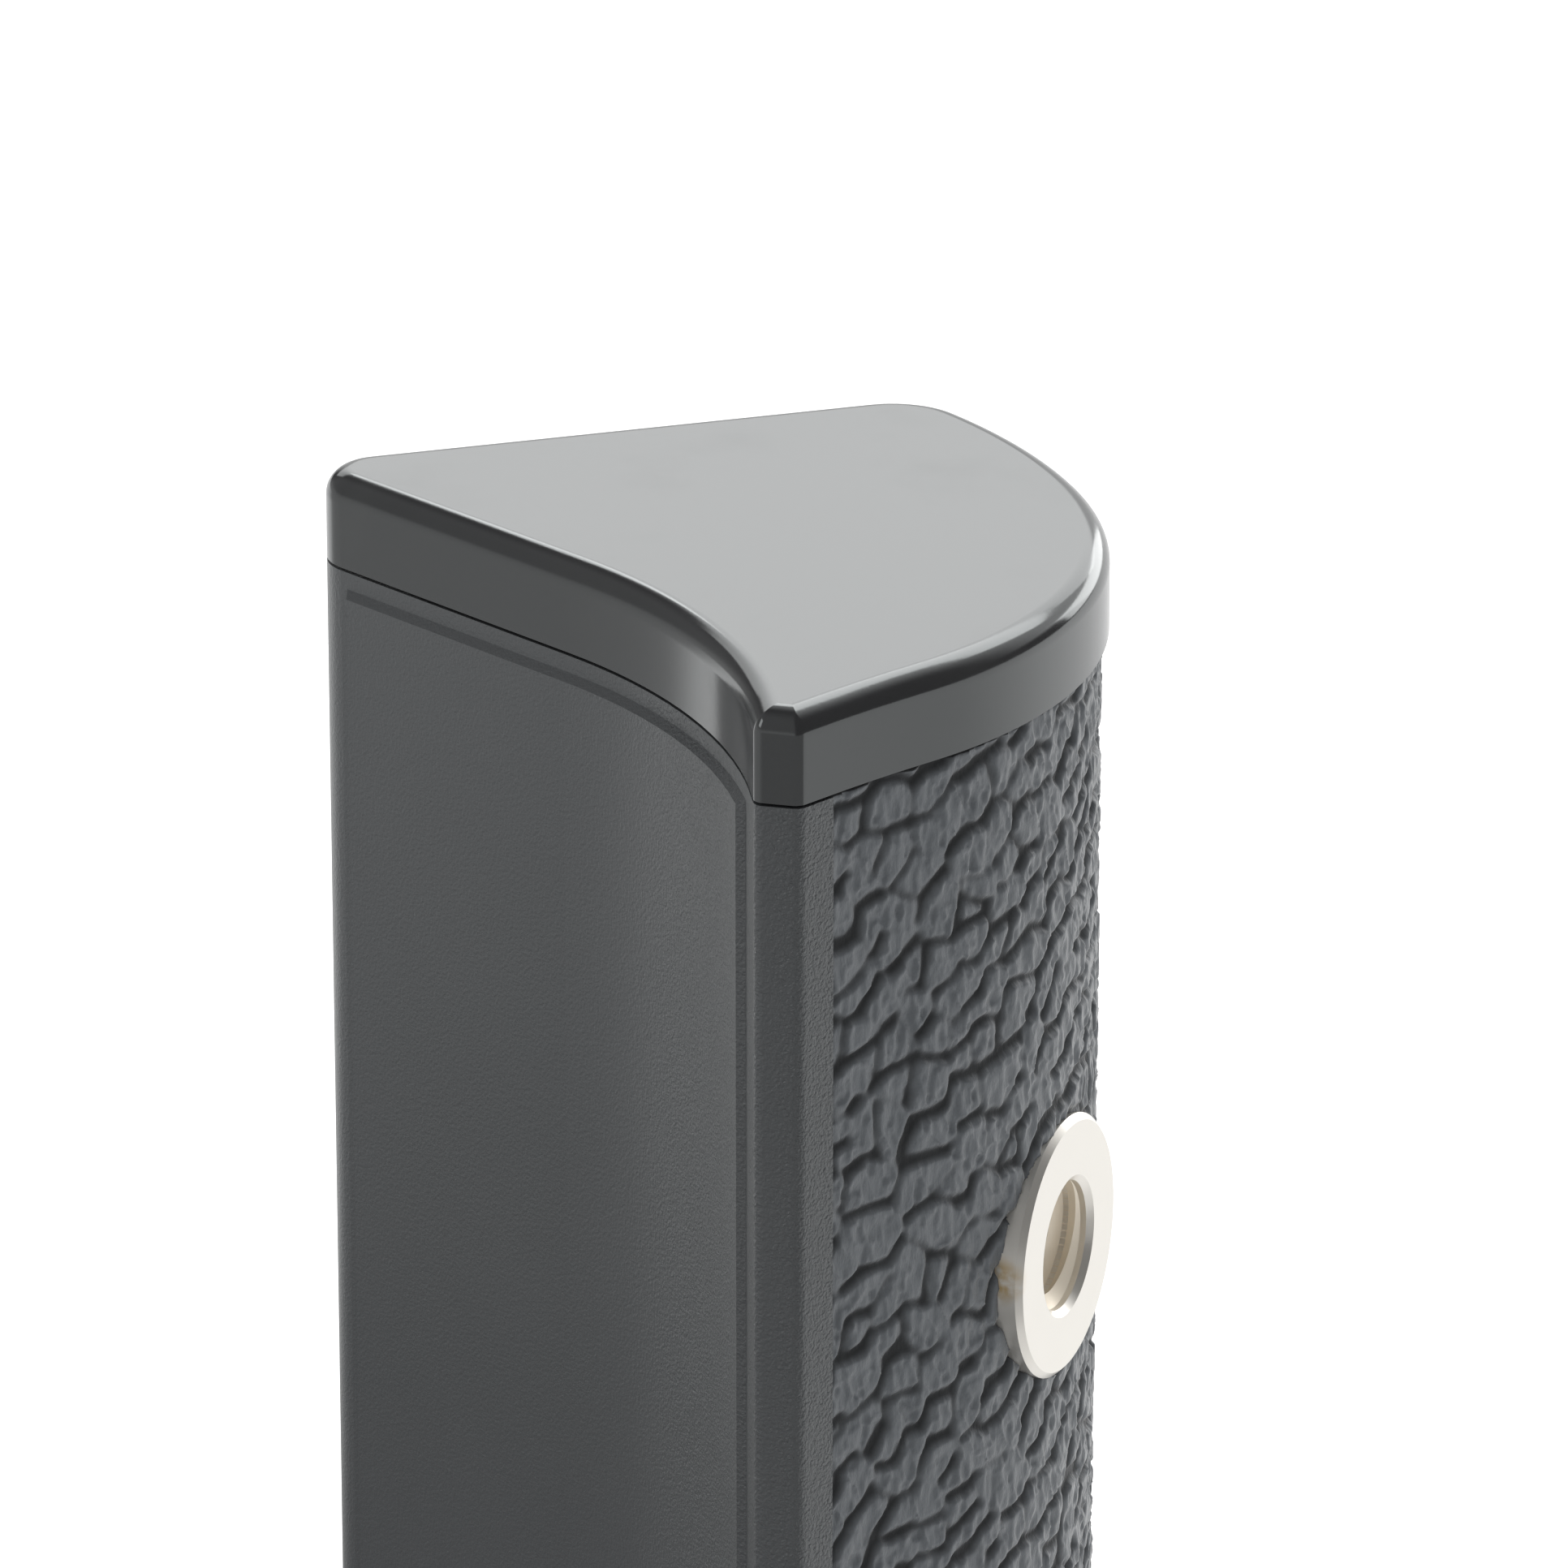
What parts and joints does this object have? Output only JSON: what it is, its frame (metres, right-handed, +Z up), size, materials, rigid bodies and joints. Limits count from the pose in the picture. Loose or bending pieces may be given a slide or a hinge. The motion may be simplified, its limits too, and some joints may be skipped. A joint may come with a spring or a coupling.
{
  "type": "camera hand grip",
  "caption": "Upright camera hand grip: flat back with captive screw and thumb wheel, hollow finger side, leather palm side with a threaded bush, and metal end caps.",
  "frame": {"origin": "where the axis of the captive camera screw crosses the face of the soft pad, which is the plane the camera stands against, at mid height of the grip", "axes": "+Z up along the grip to the plain end cap, +Y out of the flat back towards the camera, +X to the leather palm side"},
  "size_m": [0.0344, 0.0458, 0.096],
  "materials": {
    "cast_body_paint": "matt dark grey, finely blasted",
    "cap_finish": "smooth black plated brass, semi-gloss",
    "leather": "black pebbled leather",
    "bright_nickel": "bright nickel plated brass",
    "zinc_steel": "plain zinc plated steel",
    "black_steel": "blackened steel",
    "pad_rubber": "thin matt rubber facing",
    "bronze": "plain turned bronze"
  },
  "bodies": {
    "grip": {"grip_body": "cast_body_paint", "top_cap": "cap_finish", "bottom_cap": "cap_finish", "tie_bolts": "black_steel", "leather_cover": "leather", "accessory_bush": "bright_nickel", "bush_washer": "zinc_steel", "bush_nut": "zinc_steel", "back_plate": "black_steel", "back_plate_screws": "black_steel", "back_pad": "pad_rubber", "locating_pins": "zinc_steel", "wave_washer": "zinc_steel", "screw_bridge": "zinc_steel", "bridge_screws": "zinc_steel", "bridge_bushing": "bronze"},
    "screw_set": {"camera_screw": "zinc_steel", "thumb_wheel": "black_steel", "wheel_cross_pin": "zinc_steel", "retaining_clip": "zinc_steel"}
  },
  "joints": [
    {"name": "camera_screw_turn", "type": "hinge", "parent": "grip", "child": "screw_set", "pos_m": [0, 0, 0], "axis": [0, 1, 0], "continuous": true}
  ]
}
